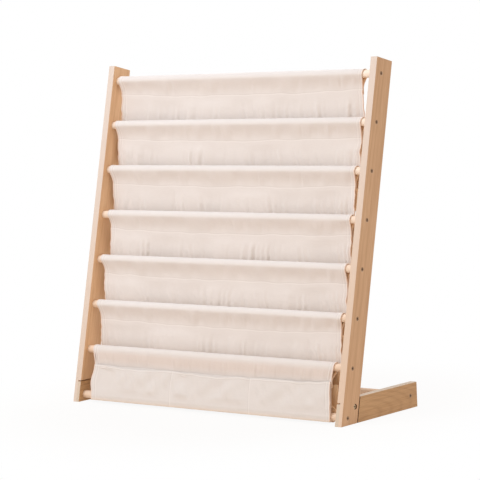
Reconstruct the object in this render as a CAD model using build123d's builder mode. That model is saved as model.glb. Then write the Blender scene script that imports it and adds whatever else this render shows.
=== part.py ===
"""Book rack with a pine frame and a canvas that hangs over dowels in sling pockets.

Millimetres, +Z up, the viewer's right is +X and the front faces -Y. The origin is on the floor under the
middle of the rack. Each side is a leaning upright half-lapped to a foot. Profiles are drawn in the YZ plane
and extruded along X.
"""

import os
from math import acos, atan2, cos, degrees, hypot, radians, sin, sqrt, tan

from build123d import *

# Frame boards
overall_width = 810
overall_height = 800
foot_reach = 289
board_width = 57
board_thickness = 18
lean_angle = 13.3
arris_radius = 1.2

# Half lap between upright and foot
tongue_height = 48
lap_slack = 2.5
seam_gap = 1.6

# Dowels
dowel_count = 8
dowel_diameter = 18
dowel_setback = 21
dowel_top_margin = 34.4
lowest_dowel_height = 15.6
rear_dowel_inset = 26
socket_depth = 5
socket_clearance = 0.5

# Screws
screw_shank_diameter = 5
screw_head_diameter = 9.5
screw_length = 45
screw_sink = 0.4
screw_tip_diameter = 1
screw_tip_length = 4
screw_clearance = 0.05
cross_slot_width = 1.4
cross_slot_length = 5.5
cross_slot_depth = 1.5
lap_screw_head_diameter = 9.5
lap_screw_head_height = 2
lap_screw_length = 13
lap_screw_sink = 2.2
lap_bore_diameter = 12
lap_screw_back_margin = 13.3
lap_screw_height = 37
pilot_reserve = 2

# Canvas
cloth_side_gap = 16
cloth_thickness = 1.2
cloth_clearance = 0.3
tunnel_drop = 31
seam_overlap = 8
fold_radius = 20
lowest_pocket_height = 30
panel_lead = 12
patch_gap = 4
patch_mouth = 2
patch_skirt = 8

# Frame: derived places
half_width = overall_width / 2
inner_half_width = half_width - board_thickness
lap_thickness = board_thickness / 2
front_y = -foot_reach / 2
rear_y = foot_reach / 2
lean = radians(lean_angle)
board_length = overall_height / cos(lean)
upright_depth = board_width / cos(lean)
rebate_height = tongue_height + lap_slack

# Dowels: derived places
lowest_along = (lowest_dowel_height + dowel_setback * sin(lean)) / cos(lean)
dowel_pitch = (board_length - dowel_top_margin - lowest_along) / (dowel_count - 1)
socket_radius = dowel_diameter / 2 + socket_clearance
dowel_half_length = inner_half_width + socket_depth

# Screws: derived places
screw_radius = screw_shank_diameter / 2
screw_head_radius = screw_head_diameter / 2
screw_hole_radius = screw_radius + screw_clearance
countersink_radius = screw_head_radius + screw_sink + screw_clearance * sqrt(2)
lap_pilot_depth = lap_screw_sink + lap_screw_length + pilot_reserve - lap_thickness
dowel_pilot_depth = screw_sink + screw_length + pilot_reserve - (half_width - dowel_half_length)

# Canvas: derived places
cloth_width = 2 * (inner_half_width - cloth_side_gap)
wrap_radius = dowel_diameter / 2 + cloth_clearance + cloth_thickness / 2
layer_pitch = cloth_thickness + cloth_clearance
layer_offset = layer_pitch / 2


def on_board(across, along):
    """Place (y, z) given as a distance back from the front edge and a distance up along it."""
    return (
        front_y + across * cos(lean) + along * sin(lean),
        along * cos(lean) - across * sin(lean),
    )


def on_lean(distance, height):
    """Place (y, z) at a height on a line that leans as the upright does, a level distance behind its edge."""
    return (front_y + distance + height * tan(lean), height)


def on_circle(centre, radius, angle):
    """Place (y, z) on a circle, the angle in degrees from the rear direction upwards."""
    return (
        centre[0] + radius * cos(radians(angle)),
        centre[1] + radius * sin(radians(angle)),
    )


def tangent_angles(centre, radius, point):
    """The two angles in degrees at which lines from a point touch a circle."""
    away = (point[0] - centre[0], point[1] - centre[1])
    direction = degrees(atan2(away[1], away[0]))
    spread = degrees(acos(radius / hypot(*away)))
    return direction - spread, direction + spread


dowel_axes = [
    on_board(dowel_setback, board_length - dowel_top_margin - number * dowel_pitch)
    for number in range(dowel_count)
]
rear_axis = (rear_y - rear_dowel_inset, board_width / 2)
lap_screw_place = on_lean((board_width - lap_screw_back_margin) / cos(lean), lap_screw_height)


def faces_out(side, x, place):
    """Plane at an X position and a (y, z) place, its normal pointing away from the middle of the rack."""
    return Plane(origin=(x, *place), x_dir=(0, 1, 0), z_dir=(side, 0, 0))


def faces_in(side, x, place):
    """The same place with the normal pointing to the middle of the rack."""
    return Plane(origin=(x, *place), x_dir=(0, 1, 0), z_dir=(-side, 0, 0))


def save(part, name):
    """Label one piece and write its file."""
    part.label = name
    export_step(part, f"parts/{name}.step")


def build_upright(side):
    """A leaning side board: the lap is cut into the lower inner half, sockets and screw holes follow."""
    with BuildPart() as upright:
        with BuildSketch(Plane.YZ.offset(side * inner_half_width)):
            with BuildLine():
                Polyline(
                    on_lean(0, 0),
                    on_board(0, board_length),
                    on_board(board_width, board_length),
                    on_lean(upright_depth, 0),
                    close=True,
                )
            make_face()
        extrude(amount=side * board_thickness)
        along_board = upright.edges().filter_by(Axis((0, 0, 0), (0, sin(lean), cos(lean))))
        top_edges = upright.faces().sort_by(Axis.Z)[-1].edges()
        fillet(along_board + top_edges, radius=arris_radius)
        with BuildSketch(Plane.YZ.offset(side * inner_half_width)):
            with BuildLine():
                Polyline(
                    on_lean(-board_width, 0),
                    on_lean(-board_width, rebate_height),
                    on_lean(upright_depth + board_width, rebate_height),
                    on_lean(upright_depth + board_width, 0),
                    close=True,
                )
            make_face()
        extrude(amount=side * lap_thickness, mode=Mode.SUBTRACT)
        with Locations(*[faces_in(side, side * inner_half_width, axis) for axis in dowel_axes[:-1]]):
            Hole(radius=socket_radius, depth=socket_depth)
        with Locations(*[faces_out(side, side * half_width, axis) for axis in dowel_axes]):
            CounterSinkHole(screw_hole_radius, countersink_radius, counter_sink_angle=90)
        with Locations(faces_out(side, side * half_width, lap_screw_place)):
            CounterBoreHole(screw_hole_radius, lap_bore_diameter / 2, lap_screw_sink + lap_screw_head_height)
    return upright.part


def build_foot(side):
    """A foot on the floor: full thickness behind the upright, a half-thickness tongue under it."""
    shoulder = upright_depth + seam_gap
    with BuildPart() as foot:
        with BuildSketch(Plane.YZ.offset(side * inner_half_width)):
            with BuildLine():
                Polyline(
                    on_lean(shoulder, 0),
                    on_lean(shoulder, board_width),
                    (rear_y, board_width),
                    (rear_y, 0),
                    close=True,
                )
            make_face()
        extrude(amount=side * board_thickness)
        along_foot = foot.edges().filter_by(Axis.Y).group_by(Axis.Z)[-1]
        rear_edges = foot.faces().sort_by(Axis.Y)[-1].edges().group_by(Axis.Z)[1:]
        fillet(along_foot + [edge for level in rear_edges for edge in level], radius=arris_radius)
        with BuildSketch(Plane.YZ.offset(side * inner_half_width)):
            with BuildLine():
                Polyline(
                    on_lean(0, 0),
                    on_lean(0, tongue_height),
                    on_lean(shoulder, tongue_height),
                    on_lean(shoulder, 0),
                    close=True,
                )
            make_face()
        extrude(amount=side * lap_thickness)
        socket_axes = (dowel_axes[-1], rear_axis)
        with Locations(*[faces_in(side, side * inner_half_width, axis) for axis in socket_axes]):
            Hole(radius=socket_radius, depth=socket_depth)
        with Locations(faces_out(side, side * half_width, rear_axis)):
            CounterSinkHole(screw_hole_radius, countersink_radius, counter_sink_angle=90)
        with Locations(faces_out(side, side * half_width, dowel_axes[-1])):
            Hole(radius=screw_hole_radius)
        with Locations(faces_out(side, side * (inner_half_width + lap_thickness), lap_screw_place)):
            Hole(radius=screw_hole_radius, depth=lap_pilot_depth)
    return foot.part


def build_dowel(axis):
    """A round bar that ends in the sockets, with a pilot hole in each end."""
    with BuildPart() as dowel:
        with BuildSketch(Plane.YZ.offset(-dowel_half_length)):
            with Locations(axis):
                Circle(dowel_diameter / 2)
        extrude(amount=2 * dowel_half_length)
        with Locations(*[faces_out(side, side * dowel_half_length, axis) for side in (-1, 1)]):
            Hole(radius=screw_hole_radius, depth=dowel_pilot_depth)
    return dowel.part


def build_screws(profile, planes):
    """A group of like screws: the half profile is turned about Z, slotted, and set on each plane."""
    with BuildPart() as screw:
        with BuildSketch(Plane.XZ):
            with BuildLine():
                Polyline(*profile, close=True)
            make_face()
        revolve(axis=Axis.Z)
        with BuildSketch(Plane.XY):
            Rectangle(cross_slot_length, cross_slot_width)
            Rectangle(cross_slot_width, cross_slot_length)
        extrude(amount=-cross_slot_depth, mode=Mode.SUBTRACT)
    with BuildPart() as screws:
        with Locations(*planes):
            add(screw.part)
    return screws.part


def tunnel_lines(axis, lead=0):
    """Draw the sewn tunnel round a dowel, from the end of its seam up the back, over and down the front.

    The seam lies under the dowel, or as far to the front of it as the lead says. Returns the front touching
    point and the place of the stitch line, from which the cloth goes on.
    """
    stitch_rear = (axis[0] - lead + layer_offset, axis[1] - tunnel_drop)
    stitch_front = (axis[0] - lead - layer_offset, axis[1] - tunnel_drop)
    rear_angle = tangent_angles(axis, wrap_radius, stitch_rear)[1]
    front_angle = tangent_angles(axis, wrap_radius, stitch_front)[0] + 360
    seam_end = (stitch_rear[0], stitch_rear[1] - 2 * seam_overlap)
    FilletPolyline(seam_end, stitch_rear, on_circle(axis, wrap_radius, rear_angle), radius=fold_radius)
    CenterArc(axis, wrap_radius, rear_angle, 90 - rear_angle)
    CenterArc(axis, wrap_radius, 90, front_angle - 90)
    return on_circle(axis, wrap_radius, front_angle), stitch_front


def build_sling(axis, next_axis):
    """Canvas from one dowel to the next: a tunnel, a plumb back wall, a round bottom and a front wall."""
    back_y = axis[0] - layer_offset
    front_wall_y = next_axis[0] + layer_offset + layer_pitch
    bend_radius = (back_y - front_wall_y) / 2
    pocket_depth = dowel_axes[-2][1] - lowest_pocket_height - cloth_thickness / 2
    bend_centre = ((back_y + front_wall_y) / 2, next_axis[1] - pocket_depth + bend_radius)
    with BuildPart() as sling:
        with BuildSketch(Plane.YZ.offset(-cloth_width / 2)):
            with BuildLine():
                touch, stitch = tunnel_lines(axis)
                FilletPolyline(touch, stitch, (back_y, bend_centre[1]), radius=fold_radius)
                CenterArc(bend_centre, bend_radius, 0, -90)
                CenterArc(bend_centre, bend_radius, -90, -90)
                Line(
                    (front_wall_y, bend_centre[1]),
                    (front_wall_y, next_axis[1] - tunnel_drop - seam_overlap),
                )
            trace(line_width=cloth_thickness)
        extrude(amount=cloth_width)
    return sling.part


def panel_directions(stitch, foot):
    """Unit vectors along the bottom panel upwards and square to it backwards."""
    rise = (stitch[0] - foot[0], stitch[1] - foot[1])
    up = (rise[0] / hypot(*rise), rise[1] / hypot(*rise))
    return up, (up[1], -up[0])


def beside_panel(foot, up, back, height, offset):
    """Place (y, z) at a height along the bottom panel and an offset behind it."""
    return (
        foot[0] + height * up[0] + offset * back[0],
        foot[1] + height * up[1] + offset * back[1],
    )


upper_axis = dowel_axes[-2]
lower_axis = dowel_axes[-1]
panel_stitch = (upper_axis[0] - panel_lead - layer_offset, upper_axis[1] - tunnel_drop)
panel_angle = tangent_angles(lower_axis, wrap_radius, panel_stitch)[1]
panel_foot = on_circle(lower_axis, wrap_radius, panel_angle)
panel_up, panel_back = panel_directions(panel_stitch, panel_foot)
panel_length = hypot(panel_stitch[0] - panel_foot[0], panel_stitch[1] - panel_foot[1])


def build_bottom_panel():
    """Canvas of the lowest tier: a tunnel, a flat panel down to the lowest dowel, and a hem sewn behind."""
    hem_stitch = beside_panel(panel_foot, panel_up, panel_back, tunnel_drop, layer_pitch)
    hem_end = beside_panel(panel_foot, panel_up, panel_back, tunnel_drop + seam_overlap, layer_pitch)
    hem_angle = tangent_angles(lower_axis, wrap_radius, hem_stitch)[0]
    with BuildPart() as panel:
        with BuildSketch(Plane.YZ.offset(-cloth_width / 2)):
            with BuildLine():
                touch, stitch = tunnel_lines(upper_axis, panel_lead)
                FilletPolyline(touch, stitch, panel_foot, radius=fold_radius)
                CenterArc(lower_axis, wrap_radius, panel_angle, 270 - panel_angle)
                CenterArc(lower_axis, wrap_radius, -90, 90 + hem_angle)
                FilletPolyline(
                    on_circle(lower_axis, wrap_radius, hem_angle),
                    hem_stitch,
                    hem_end,
                    radius=fold_radius,
                )
            trace(line_width=cloth_thickness)
        extrude(amount=cloth_width)
    return panel.part


def build_patch_pockets():
    """The strip in front of the bottom panel and its dowel, a little open at its upper edge."""
    strip_height = panel_length - patch_gap
    with BuildPart() as strip:
        with BuildSketch(Plane.YZ.offset(-cloth_width / 2)):
            with BuildLine():
                Line(
                    beside_panel(panel_foot, panel_up, panel_back, -patch_skirt, -layer_pitch),
                    beside_panel(panel_foot, panel_up, panel_back, strip_height, -layer_pitch - patch_mouth),
                )
            trace(line_width=cloth_thickness)
        extrude(amount=cloth_width)
    return strip.part


dowel_screw_profile = [
    (0, 0),
    (screw_head_radius, 0),
    (screw_radius, screw_radius - screw_head_radius),
    (screw_radius, screw_tip_length - screw_length),
    (screw_tip_diameter / 2, -screw_length),
    (0, -screw_length),
]
lap_screw_profile = [
    (0, 0),
    (lap_screw_head_diameter / 2, 0),
    (lap_screw_head_diameter / 2, -lap_screw_head_height),
    (screw_radius, -lap_screw_head_height),
    (screw_radius, screw_tip_length - lap_screw_length),
    (screw_tip_diameter / 2, -lap_screw_length),
    (0, -lap_screw_length),
]

os.makedirs("parts", exist_ok=True)

for side, side_name in ((-1, "left"), (1, "right")):
    dowel_screw_planes = [
        faces_out(side, side * (half_width - screw_sink), axis) for axis in dowel_axes + [rear_axis]
    ]
    lap_screw_plane = faces_out(side, side * (half_width - lap_screw_sink), lap_screw_place)
    save(build_upright(side), f"{side_name}_upright")
    save(build_foot(side), f"{side_name}_foot")
    save(build_screws(dowel_screw_profile, dowel_screw_planes), f"{side_name}_dowel_screws")
    save(build_screws(lap_screw_profile, [lap_screw_plane]), f"{side_name}_lap_screw")

for number, axis in enumerate(dowel_axes, start=1):
    save(build_dowel(axis), f"dowel_{number}")
save(build_dowel(rear_axis), "rear_dowel")

for number, (axis, next_axis) in enumerate(zip(dowel_axes[:-2], dowel_axes[1:-1]), start=1):
    save(build_sling(axis, next_axis), f"sling_{number}")
save(build_bottom_panel(), "bottom_panel")
save(build_patch_pockets(), "patch_pockets")
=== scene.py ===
# %% [markdown]
# # A sling book rack in pine and canvas
# The rack has two leaning pine sides, round bars between them, and a canvas that hangs over the bars in
# pockets. The boards, bars and screws come from the CAD frame as they are. The canvas there is a stiff
# stand-in, so this lesson makes it again as cloth, and gives every surface its finish.
# Sizes are in metres. +X is to the viewer's right, the front is at -Y, and +Z is up.

# %% Load the frame
import bpy
import numpy as np
from mathutils import Matrix, Vector


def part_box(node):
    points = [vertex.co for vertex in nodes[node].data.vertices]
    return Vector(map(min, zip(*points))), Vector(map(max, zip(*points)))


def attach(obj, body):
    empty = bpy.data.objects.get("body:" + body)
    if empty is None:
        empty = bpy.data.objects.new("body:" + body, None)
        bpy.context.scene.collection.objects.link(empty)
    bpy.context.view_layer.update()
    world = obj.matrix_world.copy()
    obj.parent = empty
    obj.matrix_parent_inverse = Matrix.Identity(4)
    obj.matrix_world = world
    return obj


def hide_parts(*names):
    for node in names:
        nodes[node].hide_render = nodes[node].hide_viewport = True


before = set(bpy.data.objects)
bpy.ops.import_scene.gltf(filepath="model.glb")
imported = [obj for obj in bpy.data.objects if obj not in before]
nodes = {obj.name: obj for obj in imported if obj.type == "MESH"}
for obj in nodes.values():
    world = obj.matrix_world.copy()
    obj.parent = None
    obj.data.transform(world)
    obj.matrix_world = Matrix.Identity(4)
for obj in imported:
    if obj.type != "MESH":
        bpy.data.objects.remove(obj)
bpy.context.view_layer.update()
scene = bpy.context.scene

# %% [markdown]
# ## The camera
# The photograph was taken with a long lens, from the right and a little above the middle of the rack. Its
# long edges were measured, and a camera was fitted to them: a point to look at, a distance, three angles and
# a focal length. The same numbers build the camera here, with its axes as the columns of a matrix, because
# that leaves no doubt about the order of the turns.

# %% Place the camera
aim = np.array([0.14273, -0.14450, 0.40442])
distance = 4.93346
azimuth, elevation, roll = np.radians([39.8609, 5.3426, 2.7062])
focal_length_mm = 165.34
film_width_mm = 36.0
farthest = 60.0

back = np.array([
    np.sin(azimuth) * np.cos(elevation),
    -np.cos(azimuth) * np.cos(elevation),
    np.sin(elevation),
])
level_right = np.array([np.cos(azimuth), np.sin(azimuth), 0.0])
level_up = np.cross(back, level_right)

lens = bpy.data.cameras.new("long_lens")
lens.lens = focal_length_mm
lens.sensor_width = film_width_mm
lens.clip_end = farthest
camera = bpy.data.objects.new("camera", lens)
scene.collection.objects.link(camera)
pose = np.eye(4)
pose[:3, 0] = np.cos(roll) * level_right - np.sin(roll) * level_up
pose[:3, 1] = np.sin(roll) * level_right + np.cos(roll) * level_up
pose[:3, 2] = back
pose[:3, 3] = aim + distance * back
camera.matrix_world = Matrix(pose.tolist())
scene.camera = camera
print("camera at", np.round(pose[:3, 3], 3))

# %% [markdown]
# ## Tools for finishes
# A finish in Blender is a tree of small nodes. It could be drawn by hand in the node editor, but a script can
# be read and run again. These few functions add a node, do sums and measure places, and others follow where
# they are needed, so that the finishes below read like recipes.

# %% Helpers for node trees
def tell(*helpers):
    """Print the names of the helpers that a cell made."""
    print("helpers:", ", ".join(helper.__name__ for helper in helpers))


def new_material(name):
    """A new material, its node tree and its surface shader."""
    material = bpy.data.materials.new(name)
    material.use_nodes = True
    tree = material.node_tree
    return material, tree, tree.nodes["Principled BSDF"]


def node(tree, kind, **settings):
    """Add one node. A setting that names a socket is its value, any other is a property of the node."""
    made = tree.nodes.new(kind)
    for key, value in settings.items():
        if key in made.inputs.keys():
            made.inputs[key].default_value = value
        else:
            setattr(made, key, value)
    return made


def math(tree, operation, *values):
    """A Math node. Each value is a number or the socket that feeds it."""
    made = node(tree, "ShaderNodeMath", operation=operation)
    for place, value in enumerate(values):
        if isinstance(value, bpy.types.NodeSocket):
            tree.links.new(value, made.inputs[place])
        else:
            made.inputs[place].default_value = value
    return made.outputs[0]


def times(tree, first, second):
    """The product of two values."""
    return math(tree, "MULTIPLY", first, second)


def step(tree, value, low, high, smooth="LINEAR", first=0.0):
    """Value from low to high becomes first to 1, held at both ends."""
    made = node(tree, "ShaderNodeMapRange", interpolation_type=smooth)
    made.inputs["From Min"].default_value = low
    made.inputs["From Max"].default_value = high
    made.inputs["To Min"].default_value = first
    tree.links.new(value, made.inputs["Value"])
    return made.outputs[0]


def length_of(tree, vector):
    """The length of a vector."""
    made = node(tree, "ShaderNodeVectorMath", operation="LENGTH")
    tree.links.new(vector, made.inputs[0])
    return made.outputs["Value"]


tell(new_material, node, math, times, step, length_of)

# %% [markdown]
# ## Floor
# The photograph is a studio picture on white. A backdrop lit until it burns out would also throw its light
# on the rack. Here the floor is plain paper that mostly shows white to the camera alone, so it can be white
# and still take a soft shadow close to the rack.

# %% Floor
floor_half = 14.0
floor_points = 15
floor_level = -0.0005
paper_colour = (0.84, 0.74, 0.65, 1.0)
paper_roughness = 0.9
white_from, white_full = 0.3, 0.8
white_near_rack = 0.91


def grid_mesh(name, points, material, texture=None):
    """A mesh from a grid of points, shape (rows, columns, 3): each cell of the grid is one face.

    texture, shape (rows, columns, 2), becomes the UV map, in metres of flat cloth.
    """
    rows, columns = points.shape[:2]
    index = np.arange(rows * columns).reshape(rows, columns)
    corners = [index[:-1, :-1], index[1:, :-1], index[1:, 1:], index[:-1, 1:]]
    faces = np.stack(corners, -1).reshape(-1, 4)
    mesh = bpy.data.meshes.new(name)
    mesh.from_pydata(points.reshape(-1, 3).tolist(), [], faces.tolist())
    mesh.polygons.foreach_set("use_smooth", np.ones(len(faces), bool))
    if texture is not None:
        corner_map = texture.reshape(-1, 2)[faces.reshape(-1)].astype(np.float32)
        mesh.uv_layers.new(name="cloth").data.foreach_set("uv", corner_map.reshape(-1))
    mesh.materials.append(material)
    mesh.update()
    made = bpy.data.objects.new(name, mesh)
    scene.collection.objects.link(made)
    return made


def white_to_camera(tree, shader, share):
    """Mix a shader with a share of plain white light, seen only by camera, mirror and glass rays."""
    rays = node(tree, "ShaderNodeLightPath")
    seen = math(tree, "MAXIMUM", rays.outputs["Is Camera Ray"], rays.outputs["Is Glossy Ray"])
    seen = math(tree, "MAXIMUM", seen, rays.outputs["Is Transmission Ray"])
    glow = node(tree, "ShaderNodeEmission", Strength=1.0)
    mixed = node(tree, "ShaderNodeMixShader")
    tree.links.new(times(tree, seen, share), mixed.inputs[0])
    tree.links.new(shader, mixed.inputs[1])
    tree.links.new(glow.outputs[0], mixed.inputs[2])
    return mixed.outputs[0]


paper, tree, shader = new_material("floor_paper")
shader.inputs["Base Color"].default_value = paper_colour
shader.inputs["Roughness"].default_value = paper_roughness
from_middle = length_of(tree, node(tree, "ShaderNodeTexCoord").outputs["Object"])
share = step(tree, from_middle, white_from, white_full, "SMOOTHSTEP", white_near_rack)
tree.links.new(white_to_camera(tree, shader.outputs[0], share), tree.nodes["Material Output"].inputs[0])

line = np.linspace(-floor_half, floor_half, floor_points)
side, depth = np.meshgrid(line, line[::-1])
floor = grid_mesh("floor", np.stack([side, depth, np.full_like(side, floor_level)], -1), paper)
print("floor:", 2 * floor_half, "m wide, white to the camera")

# %% [markdown]
# ## Light
# One broad lamp in front, above and to the left lights the narrow front faces, which are also painted paler
# as a painted highlight, and leaves the right side in a warm half shade, deepened by its darker painted
# tones.
# A weaker one fills from the front right, and one behind the rack picks out the tops of the bars, where the
# canvas also has a painted highlight. An environment picture could light the rack too, but lamps can be set
# one by one, and need no file.
# The world is a warm, even light, and the camera sees it as white, like the floor.

# %% World and lamps
world_colour = (0.995, 0.918, 0.85, 1.0)
world_strength = 0.63

world = bpy.data.worlds.new("studio")
scene.world = world
world.use_nodes = True
tree = world.node_tree
ambient = tree.nodes["Background"]
ambient.inputs["Color"].default_value = world_colour
ambient.inputs["Strength"].default_value = world_strength
tree.links.new(white_to_camera(tree, ambient.outputs[0], 1.0), tree.nodes["World Output"].inputs[0])


def soft_lamp(name, place, target, size, power, colour):
    """A square area lamp at a place, turned to a target."""
    data = bpy.data.lights.new(name, "AREA")
    data.size = size
    data.energy = power
    data.color = colour
    lamp = bpy.data.objects.new(name, data)
    lamp.location = place
    lamp.rotation_euler = (Vector(target) - Vector(place)).to_track_quat("-Z", "Y").to_euler()
    scene.collection.objects.link(lamp)
    print(f"{name}: {power} W")


soft_lamp("key_lamp", place=(-1.25, -2.1, 3.0), target=(0, 0, 0.4),
          size=1.6, power=55, colour=(0.94, 1.0, 1.1))
soft_lamp("fill_lamp", place=(2.4, -3.4, 1.2), target=(0, 0, 0.4),
          size=2.0, power=18, colour=(1.0, 0.97, 0.94))
soft_lamp("back_lamp", place=(0.4, 2.6, 3.2), target=(0, 0, 0.5),
          size=2.0, power=45, colour=(0.96, 0.99, 1.04))
scene.view_settings.view_transform = "Standard"

# %% [markdown]
# ## Pine boards: the grain
# The sides and feet are planed pine: pale wood, darker yearly rings that run along the board, long arches
# where a ring comes to the surface, and very fine fibres. A photograph of a board would show seams and have
# to be wrapped. Rings round an axis that is almost along the board, cut by the board's face, give just those
# arches on every face at once, so the pattern is a set of rings in coordinates squeezed along the grain.

# %% Noise along the grain
def mapped(tree, place, **settings):
    """Coordinates moved, turned or scaled by a Mapping node."""
    made = node(tree, "ShaderNodeMapping", vector_type="POINT", **settings)
    tree.links.new(place, made.inputs["Vector"])
    return made.outputs[0]


def noise(tree, place, scale, low=0.3, high=0.7, **settings):
    """Noise in coordinates scaled per axis, stretched so that values low to high fill 0 to 1."""
    texture = node(tree, "ShaderNodeTexNoise", **{"Scale": 1.0, "Detail": 3.0, **settings})
    tree.links.new(mapped(tree, place, Scale=scale), texture.inputs["Vector"])
    return step(tree, texture.outputs["Fac"], low, high)


def weighted(tree, *terms):
    """Sum of sockets, each times its weight."""
    total = times(tree, *terms[0])
    for socket, weight in terms[1:]:
        total = math(tree, "MULTIPLY_ADD", socket, weight, total)
    return total


tell(mapped, noise, weighted)

# %% Pine grain
lean = np.radians(13.3)
grain_turns = {"leaning": (lean, 0.0, 0.0), "deep": (np.pi / 2, 0.0, 0.0), "wide": (0.0, np.pi / 2, 0.0)}
bend_scale, bend_in_rings = (14.0, 14.0, 1.1), 1.7
ring_sharpness = 2.5
streak_scale, streak_weight = (320.0, 320.0, 3.4), 0.19
fibre_scale, fibre_weight = (900.0, 900.0, 22.0), 0.36
cloud_scale, cloud_weight = (22.0, 22.0, 2.2), 0.16


def pine_grain(tree, place, grain, ring_size=0.0055, centre=(0.0, 0.0, 0.0), arches=0.16, stretch=18.0,
               through=0.45):
    """How dark the wood is, 0 to 1, and the rings, streaks and fibres that make it so.

    Rings: sines of the distance from a centre near the board, sharpened by a power, in coordinates squeezed
    along the grain, and by the share called through along X, and bent by noise. Streaks, fibres and clouds:
    noise drawn out along the grain. The darkness is their weighted sum, with arches the weight of the rings.
    """
    along = mapped(tree, place, Location=centre, Rotation=grain_turns[grain])
    reach = length_of(tree, mapped(tree, along, Scale=(through, 1.0, 1 / stretch)))
    bend = noise(tree, along, bend_scale, Detail=2.0)
    bent = math(tree, "MULTIPLY_ADD", bend, bend_in_rings * ring_size, reach)
    wave = math(tree, "SINE", times(tree, bent, 2 * np.pi / ring_size))
    ring = math(tree, "POWER", math(tree, "MULTIPLY_ADD", wave, 0.5, 0.5), ring_sharpness)
    streak = noise(tree, along, streak_scale, Detail=4.0)
    fibre = noise(tree, along, fibre_scale)
    cloud = noise(tree, along, cloud_scale)
    weights = (ring, arches), (streak, streak_weight), (fibre, fibre_weight), (cloud, cloud_weight)
    return weighted(tree, *weights), ring, streak, fibre


print("grain: rings, streaks, fibres and clouds, on boards that lean", round(np.degrees(lean), 1), "degrees")

# %% [markdown]
# ## Pine boards: faces and edges
# The faces of a board to the front and up are painted paler than its broad faces, a painted highlight where
# the lamps fall on them, and the end grain is darker. Inside the joints and the sunk screw holes there is
# hardly any light, so the wood there is painted dark, as painted shade. Each face could have a material of
# its own, but a board comes as one solid. So one finish asks which way a face points and where it lies.
# Colours are given as a screen shows them, and turned into linear light.

# %% Colours and directions
def linear(red, green, blue):
    """Linear (r, g, b) of a display colour given in steps of 255, by the sRGB curve."""
    shown = np.array([red, green, blue]) / 255.0
    bright = ((shown + 0.055) / 1.055) ** 2.4
    return tuple(float(a) for a in np.where(shown <= 0.04045, shown / 12.92, bright))


def mix_colour(tree, factor, first, second, blend="MIX"):
    """Mix two colours, each one a socket or a linear (r, g, b)."""
    made = node(tree, "ShaderNodeMix", data_type="RGBA", blend_type=blend)
    # The node keeps sockets for every kind of data: 0, 6 and 7, and output 2, are those for colours.
    for socket, value in ((made.inputs[0], factor), (made.inputs[6], first), (made.inputs[7], second)):
        if isinstance(value, bpy.types.NodeSocket):
            tree.links.new(value, socket)
        else:
            socket.default_value = value if isinstance(value, float) else (*value, 1.0)
    return made.outputs[2]


def split(tree, vector):
    """The x, y and z of a vector, as three sockets."""
    made = node(tree, "ShaderNodeSeparateXYZ")
    tree.links.new(vector, made.inputs[0])
    return tuple(made.outputs)


def middle(name):
    """The middle (x, y, z) of a CAD node's box."""
    return [sum(a) / 2 for a in zip(*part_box(name))]


print("display grey 128 is", round(linear(128, 128, 128)[0], 4), "in linear light")

# %% Pine finish
# A pair says where a change begins and where it is full: a height, a facing, a place in Y or a radius.
# Painted highlight: faces to the front and up are made paler, lower and upper, where the lamps fall on them.
lit_face_heights = 0.1, 0.75
lit_face_grain = 0.3
lit_facing_from = 0.35, 0.9
end_facing = 0.6, 0.9
end_rings = 0.3
foot_lit_from = -0.1, -0.09
# Painted shade: a face to the front inside the joint of a foot is made dark.
joint_shade_from = -0.11, -0.1
joint_shade_colour = linear(70, 44, 26)
# Painted shade in the sunk hole of a lap screw: the wood within this radius of its axis is made dark.
bore_shade_edge = 0.0062, 0.0061
bore_shade_colour = linear(120, 84, 56)
pine_roughness, fibre_roughness = 0.46, 0.14
fibre_bump, streak_bump, ring_bump = 0.6, 0.3, -0.4


def paint_bore_shade(tree, wood, place, screw):
    """Wood painted dark, as painted shade, within the radius of the sunk hole of a screw, measured from the
    screw's axis along X.
    """
    apart = node(tree, "ShaderNodeVectorMath", operation="DISTANCE")
    tree.links.new(mapped(tree, place, Scale=(0.0, 1.0, 1.0)), apart.inputs[0])
    apart.inputs[1].default_value = (0.0, *middle(screw)[1:])
    return mix_colour(tree, step(tree, apart.outputs["Value"], *bore_shade_edge), wood, bore_shade_colour)


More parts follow.
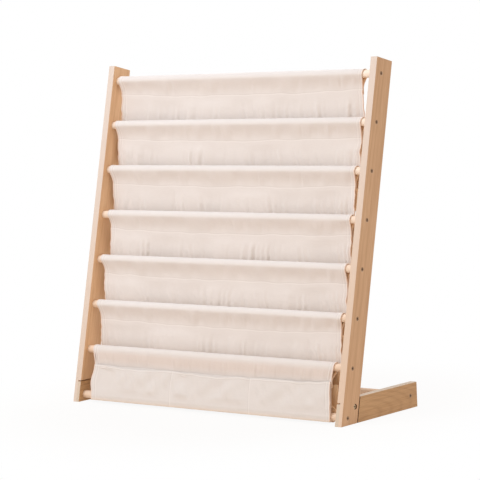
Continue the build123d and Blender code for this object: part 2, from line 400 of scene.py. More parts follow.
def pine(name, grain, light, dark, lit_face_tones, end=None, bore=None, **figure):
    """Pine whose fibres run along grain, one of "leaning", "deep" and "wide", with a figure of rings.

    Faces to the front and up take two paler colours, the lower and the upper one, as a painted highlight.
    With an end colour, a face to the rear is end grain, an upper face takes that painted highlight only
    behind the upright, and a face to the front that lies inside the joint is painted dark, as painted shade.
    bore names a screw whose sunk hole is painted dark, as painted shade.
    """
    material, tree, shader = new_material(name)
    coordinates = node(tree, "ShaderNodeTexCoord")
    place = coordinates.outputs["Object"]
    mark, ring, streak, fibre = pine_grain(tree, place, grain, **figure)
    wood = mix_colour(tree, mark, light, dark)

    _, place_y, place_z = split(tree, place)
    _, rearward, upward = split(tree, coordinates.outputs["Normal"])
    forward = times(tree, rearward, -1.0)
    # Painted highlight: the paler colours of the faces to the front and up.
    edge = mix_colour(tree, step(tree, place_z, *lit_face_heights), *lit_face_tones)
    edge = mix_colour(tree, times(tree, mark, lit_face_grain), edge, light)
    if end is not None:
        upward = times(tree, upward, step(tree, place_y, *foot_lit_from))
    lit_facing = step(tree, math(tree, "MAXIMUM", forward, upward), *lit_facing_from, "SMOOTHSTEP")
    wood = mix_colour(tree, lit_facing, wood, edge)
    if end is not None:
        end_grain = mix_colour(tree, times(tree, ring, end_rings), end, dark)
        wood = mix_colour(tree, step(tree, rearward, *end_facing), wood, end_grain)
        # Painted shade inside the joint.
        joint_shade = times(tree, step(tree, forward, *end_facing), step(tree, place_y, *joint_shade_from))
        wood = mix_colour(tree, joint_shade, wood, joint_shade_colour)
    if bore is not None:
        wood = paint_bore_shade(tree, wood, place, bore)
    tree.links.new(wood, shader.inputs["Base Color"])

    roughness = math(tree, "MULTIPLY_ADD", fibre, fibre_roughness, pine_roughness)
    tree.links.new(roughness, shader.inputs["Roughness"])
    bump = node(tree, "ShaderNodeBump", Strength=0.25, Distance=0.0004)
    height = weighted(tree, (fibre, fibre_bump), (streak, streak_bump), (ring, ring_bump))
    tree.links.new(height, bump.inputs["Height"])
    tree.links.new(bump.outputs[0], shader.inputs["Normal"])
    return material


print("pine: the dark of a sunk hole is", round(2000 * max(bore_shade_edge), 1), "mm wide")

# %% [markdown]
# ## Pine boards: three finishes
# The two sides and the feet are cut from different planks, so each has its own tones and its own place in
# the rings. The left side's tones are also painted paler than the right one's, as painted light: the left
# side is seen from inside, where more light falls, and the right one from outside. The feet show wide arches,
# since their rings are squeezed less.

# %% Finish the boards
def finish_nodes(material, slot, *names):
    """Give CAD nodes one finish, in place of the plain one they came with."""
    for name in names:
        nodes[name].data.materials.clear()
        nodes[name].data.materials.append(material)
    print(material.name, "on", ", ".join(names))


right_side = pine(
    "pine_right_side", "leaning", linear(228, 189, 150), linear(184, 138, 97),
    lit_face_tones=(linear(224, 199, 177), linear(225, 211, 200)), bore="right_lap_screw",
    centre=(0.02, 0.055, 0.31))
# Paler tones than the right side's, partly as painted light.
left_side = pine(
    "pine_left_side", "leaning", linear(246, 207, 165), linear(203, 154, 110),
    lit_face_tones=(linear(221, 204, 190), linear(222, 210, 201)), bore="left_lap_screw",
    centre=(-0.015, 0.085, -0.2))
feet = pine(
    "pine_feet", "deep", linear(217, 175, 127), linear(155, 110, 66),
    lit_face_tones=(linear(213, 198, 180),) * 2, end=linear(222, 186, 156),
    centre=(0.0, 0.01, 0.085), ring_size=0.0075, arches=0.14, stretch=4.0, through=0.05)
finish_nodes(right_side, "pine", "right_upright")
finish_nodes(left_side, "pine", "left_upright")
finish_nodes(feet, "pine", "left_foot", "right_foot")

# %% [markdown]
# ## Dowels
# The bars are turned from a closer, paler wood. A new finish could be written for them, but they differ from
# the boards only in tone and in the size of their rings. So they take the same one, with the grain along X.

# %% Dowel finish
dowel_count = 8
# The paler colours of the dowels' faces to the front and up are a painted highlight.
dowel_wood = pine(
    "pale_dowel", "wide", linear(254, 235, 213), linear(241, 212, 184),
    lit_face_tones=(linear(236, 207, 180), linear(254, 240, 224)), ring_size=0.005)
dowel_names = [f"dowel_{number}" for number in range(1, dowel_count + 1)]
finish_nodes(dowel_wood, "dowel_pine", *dowel_names, "rear_dowel")

# %% [markdown]
# ## Screws
# The screws are plated steel, dull and slightly mottled, and their two tones are painted warm, a painted
# reflection of the light that comes off the wood. The cross recess is in the CAD solid already. At this size
# its walls would catch as much light as the head, so the finish turns dark below the face of the head, as
# painted shade, and the cross can be told from it.

# %% Screw finish
mottle_scale = (900.0, 900.0, 900.0)
# Painted shade in the cross recess of a head: dark below its face.
recess_from, recess_full = 0.0003, 0.0006
recess_shade_colour = linear(48, 30, 18)
steel_roughness, mottle_roughness = 0.32, 0.15


def screw_metal(name, dark, light, face):
    """Plated steel, mottled between two tones, and painted dark, as painted shade, where it lies deeper than
    its face.

    face is the distance of the heads from the middle of the rack, along X to either side.
    """
    material, tree, shader = new_material(name)
    shader.inputs["Metallic"].default_value = 1.0
    place = node(tree, "ShaderNodeTexCoord").outputs["Object"]
    mottle = noise(tree, place, mottle_scale)
    sideways = math(tree, "ABSOLUTE", split(tree, place)[0])
    recess_shade = step(tree, sideways, face - recess_from, face - recess_full)
    steel = mix_colour(tree, recess_shade, mix_colour(tree, mottle, dark, light), recess_shade_colour)
    tree.links.new(steel, shader.inputs["Base Color"])
    roughness = math(tree, "MULTIPLY_ADD", mottle, mottle_roughness, steel_roughness)
    tree.links.new(roughness, shader.inputs["Roughness"])
    return material


dowel_screw_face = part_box("right_dowel_screws")[1][0]
lap_screw_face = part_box("right_lap_screw")[1][0]
# The warm tones of both steels are a painted reflection of the wood.
dowel_steel = screw_metal("dowel_screw_steel", linear(132, 100, 74), linear(178, 144, 114), dowel_screw_face)
lap_steel = screw_metal("lap_screw_steel", linear(206, 174, 136), linear(232, 206, 172), lap_screw_face)
finish_nodes(dowel_steel, "screw_steel", "left_dowel_screws", "right_dowel_screws")
finish_nodes(lap_steel, "screw_steel", "left_lap_screw", "right_lap_screw")

# %% [markdown]
# ## Canvas: the finish
# A plain cotton weave, cream, with threads about 0.8 mm apart. Threads and seams could be modelled, but in
# such numbers they are better drawn by the finish. The UV map is in metres of flat cloth: u runs across the
# rack and v down the cloth, with v = 0 on the seam under the bar. So a seam is simply a value of u or v, and
# its stitches are dashes along the other one.

# %% Seams of the canvas
weave_pitch = 0.0016
stitch_pitch = 0.003
stitch_dash = 0.2
groove_core, groove_reach, groove_depth = 0.0003, 0.0012, -1.4
ridge_beside, ridge_core, ridge_reach = 0.0019, 0.0006, 0.0017
# Painted shade in the groove of a seam, and a painted highlight on the ridge beside it.
groove_shade_colour = linear(184, 168, 158)
ridge_highlight_colour = linear(248, 242, 237)


def threads(tree, value, pitch):
    """A sine along value that repeats after each pitch."""
    return math(tree, "SINE", times(tree, value, 2 * np.pi / pitch))


def stripe(tree, value, at, core, reach):
    """1 where value is within core of a place, falling to 0 at reach from it."""
    apart = math(tree, "ABSOLUTE", math(tree, "SUBTRACT", value, at))
    return math(tree, "SUBTRACT", 1.0, step(tree, apart, core, reach))


def sew(tree, cloth, height, across, along, places, groove_shade_share, ridge_highlight_share):
    """Add rows of stitches to a colour and a height, where across has the values in places.

    A row is a fine groove in the bump, painted dark as painted shade and dashed by a sine along it, and
    beside it a bright ridge, a painted highlight that the bump doesn't raise.
    """
    dash = math(tree, "MULTIPLY_ADD", threads(tree, along, stitch_pitch), stitch_dash, 1 - stitch_dash)
    for at in places:
        ridge = stripe(tree, across, at + ridge_beside, ridge_core, ridge_reach)
        cloth = mix_colour(tree, times(tree, ridge, ridge_highlight_share), cloth, ridge_highlight_colour)
        groove = times(tree, stripe(tree, across, at, groove_core, groove_reach), dash)
        cloth = mix_colour(tree, times(tree, groove, groove_shade_share), cloth, groove_shade_colour)
        height = math(tree, "MULTIPLY_ADD", groove, groove_depth, height)
    return cloth, height


print("seams: stitches", 1000 * stitch_pitch, "mm long")

# %% Canvas finish
cloth_half = round(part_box("sling_1")[1][0], 4)
slub_scale = (60.0, 700.0, 1.0)
patchy_scale = (22.0, 22.0, 1.0)
weave_bump, slub_bump = 0.35, 0.8
cream_dark, cream_light = linear(226, 217, 211), linear(236, 229, 224)
# Painted light: a bright peach rim along both side edges of the cloth.
rim_light_from, rim_light_full, rim_light_share = 0.0032, 0.0016, 0.6
rim_light_colour = linear(248, 218, 194)
fold_shade_colour = linear(251, 216, 175)
# A painted shade below a bar and a painted highlight over it, and the values of v where each of their ends
# begins and is full.
tunnel_shade_colour, bar_highlight_colour = linear(205, 165, 132), linear(250, 249, 250)
tunnel_shade_top, tunnel_shade_foot = (-0.038, -0.026), (0.001, -0.016)
crown_front, crown_rear = (-0.024, -0.052), (-0.075, -0.06)


def canvas(name, level_seams=(), upright_seams=(), inside="outer_fold_shade", tunnel_shade=0.0, bar_highlight=0.0,
           tone=(1.0, 1.0, 1.0)):
    """Cream canvas with a woven bump, slubs, and rows of stitches at given v (level) and u (upright).

    The bump is the product of two sines, one across each set of threads, and noise drawn out along them.
    inside names the mesh attribute that is 1 deep in a fold, where a tan colour is painted, as painted shade.
    The next two strengths are those of a painted shade on the front of the tunnel below a bar, above v = 0,
    and of a painted highlight over the bar. tone multiplies the colour of the cloth.
    """
    material, tree, shader = new_material(name)
    flat = node(tree, "ShaderNodeUVMap", uv_map="cloth").outputs[0]
    u, v, _ = split(tree, flat)
    weave = times(tree, threads(tree, u, weave_pitch), threads(tree, v, weave_pitch))
    slub = noise(tree, flat, slub_scale, 0.0, 1.0)
    cloud = noise(tree, flat, patchy_scale, 0.0, 1.0)
    height = weighted(tree, (weave, weave_bump), (slub, slub_bump))

    cloth = mix_colour(tree, weighted(tree, (slub, 0.5), (cloud, 0.5)), cream_dark, cream_light)
    cloth = mix_colour(tree, 1.0, cloth, tone, "MULTIPLY")
    rim = step(tree, math(tree, "ABSOLUTE", u), cloth_half - rim_light_from, cloth_half - rim_light_full)
    cloth = mix_colour(tree, times(tree, rim, rim_light_share), cloth, rim_light_colour)
    # Painted shade on the front of the tunnel, below the bar.
    below_bar = step(tree, v, *tunnel_shade_top, "SMOOTHSTEP")
    shade = times(tree, below_bar, step(tree, v, *tunnel_shade_foot))
    cloth = mix_colour(tree, times(tree, shade, tunnel_shade), cloth, tunnel_shade_colour)
    # Painted highlight over the bar.
    over_bar = step(tree, v, *crown_front, "SMOOTHSTEP")
    crown = times(tree, over_bar, step(tree, v, *crown_rear, "SMOOTHSTEP"))
    cloth = mix_colour(tree, times(tree, crown, bar_highlight), cloth, bar_highlight_colour)
    cloth, height = sew(tree, cloth, height, v, u, level_seams, groove_shade_share=0.2, ridge_highlight_share=0.34)
    cloth, height = sew(tree, cloth, height, u, v, upright_seams, groove_shade_share=0.2, ridge_highlight_share=0.4)
    # Painted fold shade: tan where the fold attribute is 1.
    deep = node(tree, "ShaderNodeAttribute", attribute_name=inside).outputs["Fac"]
    cloth = mix_colour(tree, deep, cloth, fold_shade_colour)
    tree.links.new(cloth, shader.inputs["Base Color"])

    shader.inputs["Roughness"].default_value = 0.92
    shader.inputs["Sheen Weight"].default_value = 0.05
    shader.inputs["Sheen Roughness"].default_value = 0.5
    bump = node(tree, "ShaderNodeBump", Strength=0.35, Distance=0.0005)
    tree.links.new(height, bump.inputs["Height"])
    tree.links.new(bump.outputs[0], shader.inputs["Normal"])
    return material


seam_insets = 0.005, 0.0125
side_seams = [side * (cloth_half - inset) for side in (-1, 1) for inset in seam_insets]
# The inner faces take painted fold shade, tan in the tunnels and pockets.
shaded_inner_canvas = canvas("painted_shade_inner_canvas", inside="inner_fold_shade")
sling_canvas = [canvas("sling_canvas", (0.0,), side_seams, tunnel_shade=0.035, bar_highlight=0.3), shaded_inner_canvas]
print("canvas:", 2 * cloth_half, "m wide, with weave, slubs and seams")

# %% [markdown]
# ## Canvas: lines and curves
# Each sling starts in a seam under its bar, goes up behind the bar, over it and down in front, is sewn to
# itself, hangs down, turns round in a pocket and comes up behind the next bar. A cloth simulation could hang
# it, but it wouldn't give the same folds each time. Here that line is a profile in the YZ plane, worked out
# for every column of the cloth at once, so the seam may sag in the middle and the cloth may pucker.

# %% Curves for the cloth
def ease(low, high, value):
    """Smooth step from 0 at low to 1 at high: three times the square less twice the cube."""
    t = np.clip((value - low) / (high - low), 0, 1)
    return t * t * (3 - 2 * t)


def circle(centre, radius, angle):
    """Points (y, z) on a circle: the centre plus the radius times cosine and sine of the angle."""
    return centre + radius * np.stack([np.cos(angle), np.sin(angle)], -1)


def run(start, end, count):
    """Points on straight lines from start to end, one line for each column. The last point is left out."""
    t = np.linspace(0, 1, count, endpoint=False)[:, None, None]
    return start[None] * (1 - t) + end[None] * t


def turn(centre, radius, first, last, count):
    """Points on arcs from angle first to angle last, one arc for each column. The last point is left out."""
    t = np.linspace(0, 1, count, endpoint=False)[:, None]
    return circle(centre, radius, first[None] * (1 - t) + last[None] * t)


print("half way up a smooth step:", float(ease(0, 2, 1.0)))

# %% [markdown]
# ## Canvas: the tunnel
# Every tier begins with the same sewn tunnel, so it is a function of the bar's place. The places are the
# middles of the CAD bars. The cloth has more columns close to its sides, where the hems are, and its middle
# surface keeps two layers' distance from the wood.

# %% Tunnel round a bar
axes = np.array([middle(name)[1:] for name in dowel_names])
layer = 0.00095
bar_low, bar_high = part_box("dowel_1")
wrap = round((bar_high[1] - bar_low[1]) / 2, 4) + 2 * layer
hem = 0.013
hem_margin = 0.002
column_count, hem_columns = 271, 9
tail_length, tail_rows = 0.014, 5
swing_rows, over_rows = 20, 26
over_first, over_last = 24, 44
swing_power, late_power = 0.64, 0.9
x_flat = np.unique(np.concatenate([
    np.linspace(-cloth_half, cloth_half, column_count),
    np.linspace(-cloth_half, -cloth_half + hem + hem_margin, hem_columns),
    np.linspace(cloth_half - hem - hem_margin, cloth_half, hem_columns),
]))
bow = 1 - (x_flat / cloth_half) ** 2


def level_line(y, z):
    """A line (y, z) that is the same for every column, or follows the columns where y or z does."""
    return np.stack(np.broadcast_arrays(y, z, x_flat)[:2], -1)


def tunnel(axis, drop, puff, lead=0.0):
    """Rows of the sewn tunnel round a bar, and the line of stitches where it ends.

    From the tail of the seam it goes up behind, over the bar and down in front. Behind and in front the
    cloth leaves the bar plumb and swings in to the seam on a smooth step, with puff times a half sine added.
    The seam is drop below the axis, under the bar, or as far to the front of it as the lead says.
    """
    t = np.linspace(0, 1, swing_rows, endpoint=False)[:, None]
    swing = ease(0, 1, t**swing_power)
    late = ease(0, 1, t**late_power) if lead else swing
    bulge = puff * np.sin(np.pi * t)
    front = axis + np.stack([-wrap * (1 - swing) - (lead + layer) * swing - bulge, -drop * t], -1)
    rear = axis + np.stack([wrap * (1 - late) - (lead - layer) * late + bulge, -drop * t], -1)[::-1]
    seam = axis + level_line(layer - lead, -drop)
    tail = run(seam - np.array([0.0, tail_length]), seam, tail_rows)
    start = np.zeros_like(drop)
    over = turn(axis, wrap, start, start + np.pi, over_rows)
    return np.concatenate([tail, rear, over, front]), axis + level_line(-layer - lead, -drop)


print("bars at", np.round(axes, 3).tolist(), "and cloth", round(1000 * wrap, 1), "mm from their axes")

# %% [markdown]
# ## Canvas: from profile to sheet
# The rows are carried across the rack, from the left edge to the right edge of each row, so an edge can draw
# in or flare. The sheet gets its thickness from a Solidify modifier, with more in the hems. That keeps the
# grid simple, and gives the inner face its own finish.

# %% Make a sheet
def spread_columns(rows, left, right):
    """Add x to (y, z) rows: even columns between the left and the right edge of each row."""
    t = (x_flat[None] + cloth_half) / (2 * cloth_half)
    x = left[:, None] * (1 - t) + right[:, None] * t
    return np.concatenate([np.broadcast_to(x, rows.shape[:2])[..., None], rows], -1)


def flat_map(points, stitch_row):
    """UV of the cloth in metres: u is the flat column, v the mean length of cloth below the stitch row."""
    lengths = np.linalg.norm(np.diff(points[:, :, 1:], axis=0), axis=-1).mean(1)
    v = np.concatenate([[0.0], np.cumsum(lengths)])
    return np.stack(np.broadcast_arrays(x_flat[None], v[:, None] - v[stitch_row]), -1)


def make_cloth(name, points, texture, canvases, depths, replaced, thick=0.0018, thin=0.0011):
    """Build a sheet: a grid with its hems thicker than the rest.

    canvases are the finishes of its outer and inner face, depths their shares of painted fold shade, row by
    row.
    """
    made = grid_mesh(name, points, canvases[0], texture)
    made.data.materials.append(canvases[1])
    columns = points.shape[1]
    for label, depth in zip(("outer_fold_shade", "inner_fold_shade"), depths):
        values = made.data.attributes.new(label, "FLOAT", "POINT").data
        values.foreach_set("value", np.repeat(depth, columns).astype(np.float32))
    in_hem = np.abs(x_flat) > cloth_half - hem
    group = made.vertex_groups.new(name="thickness")
    index = np.arange(points.shape[0] * columns).reshape(-1, columns)
    group.add(index[:, in_hem].reshape(-1).tolist(), 1.0, "REPLACE")
    group.add(index[:, ~in_hem].reshape(-1).tolist(), thin / thick, "REPLACE")
    wall = made.modifiers.new("cloth_thickness", "SOLIDIFY")
    wall.thickness = thick
    wall.offset = 0.0
    wall.use_even_offset = False
    wall.vertex_group = "thickness"
    wall.material_offset = 1
    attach(made, "root")
    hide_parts(replaced)
    return made


print("columns:", len(x_flat), "from", x_flat[0], "to", x_flat[-1])

# %% [markdown]
# ## Canvas: how a sling hangs
# Under its seam the real cloth isn't flat. It bellies to the front, swells here and there, and shows short
# puckers close above the next bar. Sculpting them would fix them for one sling. Sums of seeded sines give
# every sling its own, and the same ones each time. Each kind of curve has its own hundred of seeds, to which
# the number of the sling is added.

# %% Wall of a sling
wall_rows = 56
slant = 0.12
pucker_height, pucker_from = 0.0012, (0.01, 0.052)
pucker_share, share_spread, share_limits = 0.75, 0.4, (0.25, 1.4)
swell_height, swell_from = 0.0022, (0.004, 0.03)
belly_height, belly_from = 0.0036, (0.0, 0.045)
relief_middle, relief_reach, relief_least = 0.004, 0.0055, -0.001
relief_begins, relief_ends = (0, 0.01), (0.085, 0.135)


def ripples(x, seed, count, shortest, longest):
    """A smooth random curve of x with unit spread: a sum of sines of seeded phase and share.

    Their lengths go from the shortest to the longest, each the same number of times the one before.
    """
    rng = np.random.default_rng(seed)
    lengths = np.geomspace(shortest, longest, count)
    shares = rng.uniform(0.4, 1.0, count)
    phases = rng.uniform(0, 2 * np.pi, count)
    waves = shares * np.sin(2 * np.pi * np.asarray(x)[..., None] / lengths + phases)
    return waves.sum(-1) / np.sqrt((shares**2).sum() / 2)


def sling_wall(number, stitch, end):
    """The hanging wall of a sling, straight from its stitches to its end, with a relief to the front.

    The relief is a belly that grows below the seam, plus a long random swell, plus short random puckers that
    slant and come and go across the width. A hyperbolic tangent holds the sum within its reach on either
    side of its middle, and smooth steps let it begin below the seam and end above the pocket.
    """
    wall = run(stitch, end, wall_rows)
    under = stitch[None, :, 1] - wall[..., 1]
    slanted = x_flat[None] + slant * under * ripples(x_flat, 200 + number, 3, 0.2, 0.6)[None]
    share = pucker_share + share_spread * ripples(x_flat, 500 + number, 4, 0.1, 0.35)
    where = np.clip(share, *share_limits)[None]
    pucker = pucker_height * where * ripples(slanted, 300 + number, 14, 0.013, 0.06)
    swell = swell_height * ripples(slanted, 400 + number, 5, 0.12, 0.5)
    relief = pucker * ease(*pucker_from, under) + swell * ease(*swell_from, under)
    relief = relief + belly_height * ease(*belly_from, under)
    relief = relief_middle + relief_reach * np.tanh((relief - relief_middle) / relief_reach)
    shown = ease(*relief_begins, under) * (1 - ease(*relief_ends, under))
    wall[..., 0] -= np.maximum(relief, relief_least) * shown
    return wall


print("walls:", wall_rows, "rows each")

# %% [markdown]
# ## Canvas: the six slings
# No two slings hang alike in the photograph. Their edges lie at other places on the bars, draw in below them
# and flare again towards the pocket. So each sling has its own measures, in lists from the top one down.

# %% Measures of the slings
sling_count = 6
# The edges on the bar, how far they draw in under it and are in at the pocket, and what a side hides there.
edge_left = [-0.3795, -0.3764, -0.3788, -0.3682, -0.3755, -0.372]
edge_right = [0.3608, 0.3694, 0.3657, 0.3662, 0.3657, 0.3683]
draw_left = [0.001, 0.001, 0.003, 0.0015, 0.004, 0.0035]
draw_right = [0.007, 0.006, 0.006, 0.005, 0.002, 0.0075]
flare_left = [0.001, 0.001, 0.003, -0.005, 0.012, 0.0025]
flare_right = [0.0035, 0.006, 0.006, 0.005, 0.002, 0.0075]
hidden_left = [0, 0, 0.009, 0, 0, 0]
# How far the seam sags in the middle, and how far the pocket hangs below the next bar.
sag = [0.008, 0.007, 0.006, 0.007, 0.006, 0.007]
pocket_depth = [0.0908, 0.0908, 0.0908, 0.0908, 0.0908, 0.0985]
seam_drop, seam_wave, sag_power = 0.0315, 0.0009, 0.7
puff_height, puff_least = 0.0009, -0.0012
crinkle_height, crinkle_from = 0.0004, (0.0, 1.2)
pocket_top = 0.0395
bend_rows, front_rows = 18, 14
flare_row = 40
edge_wave = 0.0007
# Painted fold shade below the next bar, and a painted shade above it that grows from tier to tier.
fold_shade_from, tier_shade_from, tier_shade_share = (-0.006, 0.025), (-0.03, -0.008), 0.015
print("pockets hang", 1000 * min(pocket_depth), "to", 1000 * max(pocket_depth), "mm below the bars")

# %% Edges and folds of a sling
def glide(value, stops, heights):
    """A curve through given heights at given stops, level at each: a smooth step from one to the next."""
    stops, heights = np.asarray(stops, float), np.asarray(heights, float)
    part = np.clip(np.searchsorted(stops, value, "right") - 1, 0, len(stops) - 2)
    t = ease(0, 1, (value - stops[part]) / (stops[part + 1] - stops[part]))
    return heights[part] * (1 - t) + heights[part + 1] * t


def sling_edges(number, row, stitch_row, bend_row, depth):
    """Left and right edge of each row: the place on the bar, drawn in below it, then flared, then wavy.

    Between these rows the edge is a smooth step, and the waves are random ripples along the depth.
    """
    stops = [0, tail_rows, over_first, over_last, stitch_row, stitch_row + flare_row, len(row) - 1]
    draw, flare = draw_left[number - 1], flare_left[number - 1]
    left = edge_left[number - 1] + glide(row, stops, [draw, draw, 0, 0, draw, flare, flare])
    left = left + hidden_left[number - 1] * ease(bend_row, bend_row + bend_rows // 2, row)
    draw, flare = draw_right[number - 1], flare_right[number - 1]
    right = edge_right[number - 1] - glide(row, stops, [draw, draw, 0, 0, draw, flare, flare])
    wavy = edge_wave * (row > stitch_row)
    left = left + wavy * ripples(depth, 900 + number, 4, 0.018, 0.06)
    right = right + wavy * ripples(depth, 950 + number, 4, 0.018, 0.06)
    return left, right


def sling_folds(number, row, stitch_row, bend_row, depth):
    """Share of painted fold shade on the outer and the inner face of each row.

    Outside it is a smooth step below the next bar, and a little above it a painted shade that grows from tier
    to tier.
    Inside it is 1 in the tunnel and in the front wall of the pocket.
    """
    tier_shade = tier_shade_share * number * ease(*tier_shade_from, depth)
    outer = np.where(row < stitch_row, 0, np.maximum(ease(*fold_shade_from, depth), tier_shade))
    inner = glide(row, [0, stitch_row - 1, stitch_row + 3, bend_row, bend_row + 6], [1, 1, 0, 0, 1])
    return outer, inner


print("edges draw in by up to", 1000 * max(draw_left + draw_right), "mm")

# %% Hang the six slings
def soften(rows, first, last, passes):
    """Round a fold: average each row between first and last with its neighbours, a few times."""
    for _ in range(passes):
        middle_rows = (rows[first - 1:last - 1] + 2 * rows[first:last] + rows[first + 1:last + 1]) / 4
        rows[first:last] = middle_rows
    return rows


def sling(number):
    """One sling, number 1 to 6 from the top: tunnel, hanging wall, half round bend and front wall.

    The seam sags by a power of a parabola across the width, with random ripples. The bend is a half circle
    as wide as the space between the wall and the front wall, which goes straight up behind the next bar.
    """
    axis, below = axes[number - 1], axes[number]
    drop = seam_drop + sag[number - 1] * bow**sag_power
    drop = drop + seam_wave * ripples(x_flat, 100 + number, 6, 0.07, 0.4)
    patchy = ease(*crinkle_from, ripples(x_flat, 700 + number, 4, 0.12, 0.4))
    puff = puff_height * ripples(x_flat, 600 + number, 6, 0.03, 0.3)
    puff = puff + crinkle_height * patchy * ripples(x_flat, 800 + number, 6, 0.009, 0.028)
    tunnel_rows, stitch = tunnel(axis, drop, np.maximum(puff, puff_least))
    stitch_row = len(tunnel_rows)
    bend_row = stitch_row + wall_rows + bend_rows // 2

    back_y = axis[0] - layer
    front_y = below[0] + 3 * layer
    bend = (back_y - front_y) / 2
    bend_z = below[1] - pocket_depth[number - 1] + bend
    wall = sling_wall(number, stitch, level_line(back_y, bend_z))
    start = np.zeros_like(drop)
    bottom = turn(np.array([(back_y + front_y) / 2, bend_z]), bend, start, start - np.pi, bend_rows)
    front_end = level_line(front_y, below[1] - pocket_top)
    front = run(level_line(front_y, bend_z), front_end, front_rows)
    rows = np.concatenate([tunnel_rows, wall, bottom, front, front_end[None]])
    rows = soften(rows, stitch_row - 3, stitch_row + 4, passes=3)

    row = np.arange(len(rows))
    depth = below[1] - rows[..., 1].mean(1)
    points = spread_columns(rows, *sling_edges(number, row, stitch_row, bend_row, depth))
    folds = sling_folds(number, row, stitch_row, bend_row, depth)
    make_cloth(f"sling_cloth_{number}", points, flat_map(points, stitch_row), sling_canvas, folds,
               f"sling_{number}")


for sling_number in range(1, sling_count + 1):
    sling(sling_number)

# %% [markdown]
# ## Canvas: the lowest panel
# The lowest tier has the same tunnel, but its cloth goes forward to the lowest bar, wraps it from the front
# and ends in a hem sewn behind. A straight line that touches a round bar is worked out exactly by an arc
# cosine, so the cloth neither cuts into the bar nor stands off it.

# %% Lines of the bottom panel
panel_lead = 0.012
panel_seam_drop, panel_sag, panel_wave = 0.0325, 0.003, 0.0006
rib_height, rib_swell, rib_least = 0.0007, 0.0006, -0.0005
hem_rise, hem_length, hem_slack = 0.031, 0.008, 0.006
upper, lower = axes[-2], axes[-1]


def touching_angle(points, side):
    """Angle on the cloth's circle round the lowest bar where a straight line from each point touches it.

    It is the direction of the point, plus or minus the angle whose cosine is radius over distance.
    """
    away = points - lower
    return np.arctan2(away[:, 1], away[:, 0]) + side * np.arccos(wrap / np.hypot(away[:, 0], away[:, 1]))


panel_drop = panel_seam_drop + panel_sag * bow + panel_wave * ripples(x_flat, 107, 6, 0.07, 0.4)
ribs = rib_height * ripples(x_flat, 507, 8, 0.0065, 0.018)
ribs = ribs + rib_swell * ripples(x_flat, 508, 4, 0.05, 0.2)
panel_top, panel_stitch = tunnel(upper, panel_drop, np.maximum(ribs, rib_least), lead=panel_lead)
touch = touching_angle(panel_stitch, 1)
panel_foot = circle(lower, wrap, touch)
panel_rise = np.linalg.norm(panel_stitch - panel_foot, axis=-1)
panel_up = (panel_stitch - panel_foot) / panel_rise[:, None]
panel_back = np.stack([panel_up[:, 1], -panel_up[:, 0]], -1)
hem_stitch = panel_foot + hem_rise * panel_up + 2 * layer * panel_back
hem_end = hem_stitch + hem_length * panel_up
release = touching_angle(hem_stitch, -1) + 2 * np.pi
print("panel: front", round(1000 * float(panel_rise.mean()), 1), "mm from seam to bar")

# %% Bottom panel
panel_rows, around_rows, slack_rows, hem_rows = 30, 30, 12, 4
stitch_row = len(panel_top)
foot_row = stitch_row + panel_rows
tuck_first, tuck_last = foot_row + 34, foot_row + 43

slack = hem_slack * np.sin(np.linspace(0, np.pi, slack_rows, endpoint=False))[:, None, None]
rows = np.concatenate([
    panel_top,
    run(panel_stitch, panel_foot, panel_rows),
    turn(lower, wrap, touch, release, around_rows),
    run(circle(lower, wrap, release), hem_stitch, slack_rows) + slack * panel_back,
    run(hem_stitch, hem_end, hem_rows),
    hem_end[None],
])
rows = soften(rows, stitch_row - 2, stitch_row + 3, passes=2)
row = np.arange(len(rows))
last = len(rows) - 1
stops = [0, tail_rows, over_first, over_last, stitch_row, foot_row, tuck_first, tuck_last, last]
panel_left = [-0.3615, -0.3615, -0.3675, -0.3675, -0.3615, -0.3565, -0.3565, -0.345, -0.345]
panel_right = [0.3555, 0.3555, 0.3615, 0.3615, 0.3555, 0.365, 0.365, 0.35, 0.35]
points = spread_columns(rows, glide(row, stops, panel_left), glide(row, stops, panel_right))
# Painted fold shade: outside round and under the lowest bar, inside in the tunnel and behind the bar.
outer = glide(row, [0, foot_row + 8, foot_row + 18, len(rows)], [0, 0, 1, 1])
inner_stops = [0, stitch_row - 1, stitch_row + 3, foot_row - 10, foot_row, last]
inner = glide(row, inner_stops, [1, 1, 0, 0, 1, 1])
panel_canvas = [canvas("panel_canvas", (0.0,), side_seams, tunnel_shade=0.2, bar_highlight=0.15), shaded_inner_canvas]
bottom_panel = make_cloth("bottom_panel_cloth", points, flat_map(points, stitch_row), panel_canvas,
                          (outer, inner), "bottom_panel")

# %% [markdown]
# ## Canvas: the patch pockets
# In front of the panel hangs a strip with a folded upper hem, sewn along two upright lines, so it makes three
# flat pockets. Its foot covers the lowest bar like a short skirt. Three small sheets could be made, but the
# real strip is one, so here it is one too: it stands off the panel by a height field that is least at the
# foot and along the sewn lines.

# %% Front of the patch pockets
dividers = np.array([-0.114, 0.131])
divider_width = 0.009
rim_below_seam, rim_dip, rim_wave = 0.0035, 0.003, 0.0008
rim_lift, rim_lift_from = 0.003, (0.1, 0.37)
mouth_least, mouth_gape = 0.0014, 0.002
loose_height, crease_height, crease_power, fine_share = 0.002, 0.0012, 0.7, 0.7
soft_touch, foot_ease = 0.0005, (0, 0.3)
strip_rows = 30

# How far the mouth of each pocket opens: a squared sine from one sewn line to the next.
pocket_ends = np.array([-cloth_half, *dividers, cloth_half])
pocket = np.clip(np.searchsorted(pocket_ends, x_flat) - 1, 0, len(dividers))
across = (x_flat - pocket_ends[pocket]) / (pocket_ends[pocket + 1] - pocket_ends[pocket])
gape = np.sin(np.pi * across) ** 2

# The rim dips between the sewn lines, rises to the right and waves a little.
strip_height = panel_rise - rim_below_seam + rim_lift * ease(*rim_lift_from, x_flat)
strip_height = strip_height - rim_dip * gape - rim_wave * ripples(x_flat, 601, 5, 0.05, 0.3)
t = np.linspace(0, 1, strip_rows)[:, None]
rise = t * strip_height

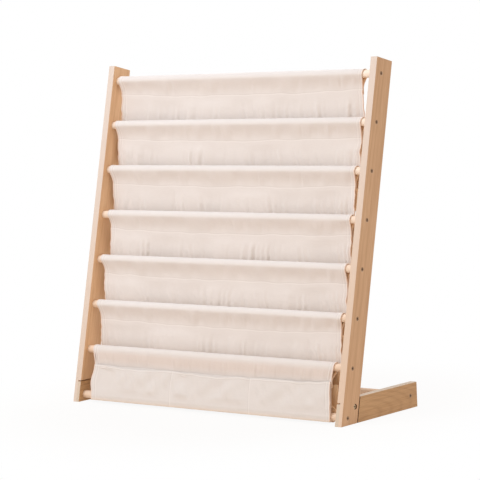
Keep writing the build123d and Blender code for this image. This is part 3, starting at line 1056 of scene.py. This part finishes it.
# Creases are random ripples along slanted lines. They vanish at the foot, the rim and the sewn lines.
crease = ripples(x_flat + 0.8 * rise, 602, 4, 0.09, 0.4) + ripples(x_flat - 1.3 * rise, 603, 4, 0.07, 0.3)
fine = ripples(x_flat + 0.2 * rise, 604, 5, 0.03, 0.12) * ripples(x_flat + 3 * rise, 605, 3, 0.15, 0.4)
crease = crease + fine_share * fine
free = 1 - np.exp(-((x_flat[:, None] - dividers) / divider_width) ** 2).sum(-1)
loose = loose_height + crease_height * np.sin(np.pi * t) ** crease_power * crease

# The gap to the panel is the mouth plus the loose cloth, kept above zero by a soft corner.
half_gap = (t**2 * (mouth_least + mouth_gape * gape) + free * loose) / 2
lift = 2 * layer + (half_gap + np.sqrt(half_gap**2 + soft_touch**2)) * ease(*foot_ease, t)
front_face = panel_foot + rise[..., None] * panel_up - lift[..., None] * panel_back
print("patch: stands off by up to", round(1000 * float(lift.max()), 1), "mm")

# %% Patch pockets
hem_fold_radius, hem_fold_rows = 0.0008, 7
rim_hem, rim_hem_rows = 0.009, 6
skirt_length, skirt_rows, skirt_turn_rows = 0.0095, 6, 6
rim_stitch = 0.0033
# Painted shade: the strip is made a little darker than the other cloth.
patch_shade_tone = (0.97, 0.98, 0.98)
skirt_end, middle_row, inner_shade_end = 10, 26, 34

fold = np.linspace(0, np.pi, hem_fold_rows)[1:, None, None]
fold_rows = front_face[-1] + hem_fold_radius * (np.sin(fold) * panel_up + (1 - np.cos(fold)) * panel_back)
tail = run(fold_rows[-1], fold_rows[-1] - rim_hem * panel_up, rim_hem_rows)[1:]
skirt_reach = wrap + 2 * layer
skirt_top = lower + level_line(-skirt_reach, 0.0)
skirt = run(skirt_top - np.array([0.0, skirt_length]), skirt_top, skirt_rows)
skirt_turn = turn(lower, skirt_reach, np.full_like(touch, np.pi), touch, skirt_turn_rows)
rows = np.concatenate([skirt, skirt_turn, front_face, fold_rows, tail])
row = np.arange(len(rows))
front_row = skirt_rows + skirt_turn_rows
rim_row = front_row + strip_rows
left_stops = [0, skirt_end, middle_row, rim_row, len(rows)]
patch_left = glide(row, left_stops, [-0.357, -0.357, -0.361, -0.357, -0.357])
patch_right = glide(row, [0, skirt_end, rim_row, len(rows)], [0.365, 0.365, 0.3555, 0.3555])
points = spread_columns(rows, patch_left, patch_right)
# Painted fold shade: outside at the foot of the skirt, inside low in the pockets.
outer = glide(row, [0, 2, 5], [0.45, 0.15, 0]) * (row < skirt_rows)
inner = glide(row, [0, middle_row, inner_shade_end], [1, 1, 0])

rim_seam = float(strip_height.mean()) - rim_stitch
patch_canvas = [canvas("patch_canvas", (rim_seam,), [*dividers, *side_seams], tone=patch_shade_tone), shaded_inner_canvas]
# The rows go up the rack here and down it in the other sheets, so they are turned round to face the front.
make_cloth("patch_pocket_cloth", points[::-1], flat_map(points, front_row)[::-1], patch_canvas,
           (outer[::-1], inner[::-1]), "patch_pockets", thick=0.0014, thin=0.0010)

# %% [markdown]
# ## Last step
# The view layer is brought up to date.

# %% Bring the view layer up to date
bpy.context.view_layer.update()
